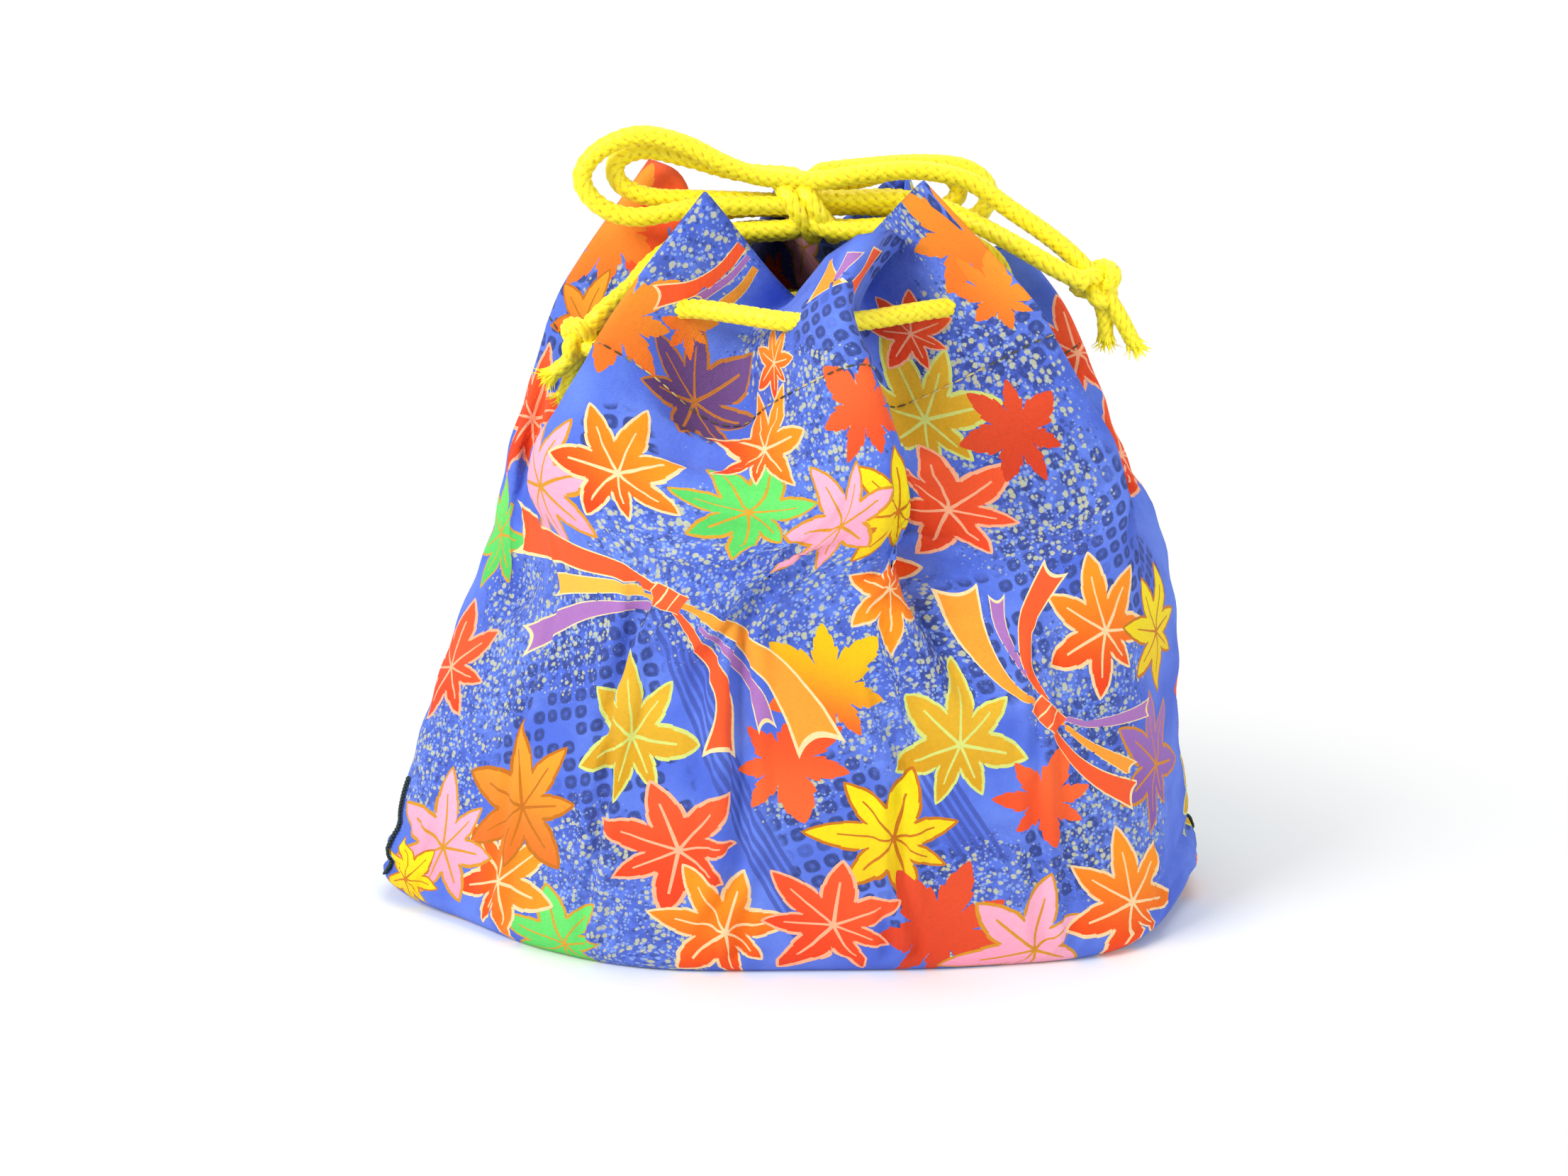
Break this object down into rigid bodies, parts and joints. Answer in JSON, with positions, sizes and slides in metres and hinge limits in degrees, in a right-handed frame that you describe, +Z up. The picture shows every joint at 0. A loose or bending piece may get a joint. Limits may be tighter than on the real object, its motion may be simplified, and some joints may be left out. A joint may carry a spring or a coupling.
{
  "type": "drawstring pouch",
  "caption": "Drawstring pouch of printed cloth standing on a flat base, its pleated mouth gathered by braided cords tied in a bow.",
  "frame": {"origin": "middle of the cloth's box, at the bottom of the flat base, where the pouch stands", "axes": "+Z up, +X to the right as seen from the front, the front of the pouch facing -Y"},
  "size_m": [0.1992, 0.113, 0.1816],
  "materials": {
    "printed_cloth": "thin printed cotton",
    "yellow_braid": "glossy braided cord",
    "dark_thread": "overlocked thread"
  },
  "bodies": {
    "root": {"pouch_cloth": "printed_cloth", "right_cord_in_hem": "yellow_braid", "right_cord_exit_a": "yellow_braid", "right_cord_exit_b": "yellow_braid", "right_cord_loop_a": "yellow_braid", "right_cord_loop_b": "yellow_braid", "right_cord_tail_a": "yellow_braid", "right_cord_tail_b": "yellow_braid", "left_cord_in_hem": "yellow_braid", "left_cord_exit_a": "yellow_braid", "left_cord_exit_b": "yellow_braid", "left_cord_loop_a": "yellow_braid", "left_cord_loop_b": "yellow_braid", "left_cord_tail_a": "yellow_braid", "left_cord_tail_b": "yellow_braid", "bow_knot": "yellow_braid", "right_end_knot": "yellow_braid", "left_end_knot": "yellow_braid", "left_seam_edge": "dark_thread", "right_seam_edge": "dark_thread"}
  },
  "joints": []
}
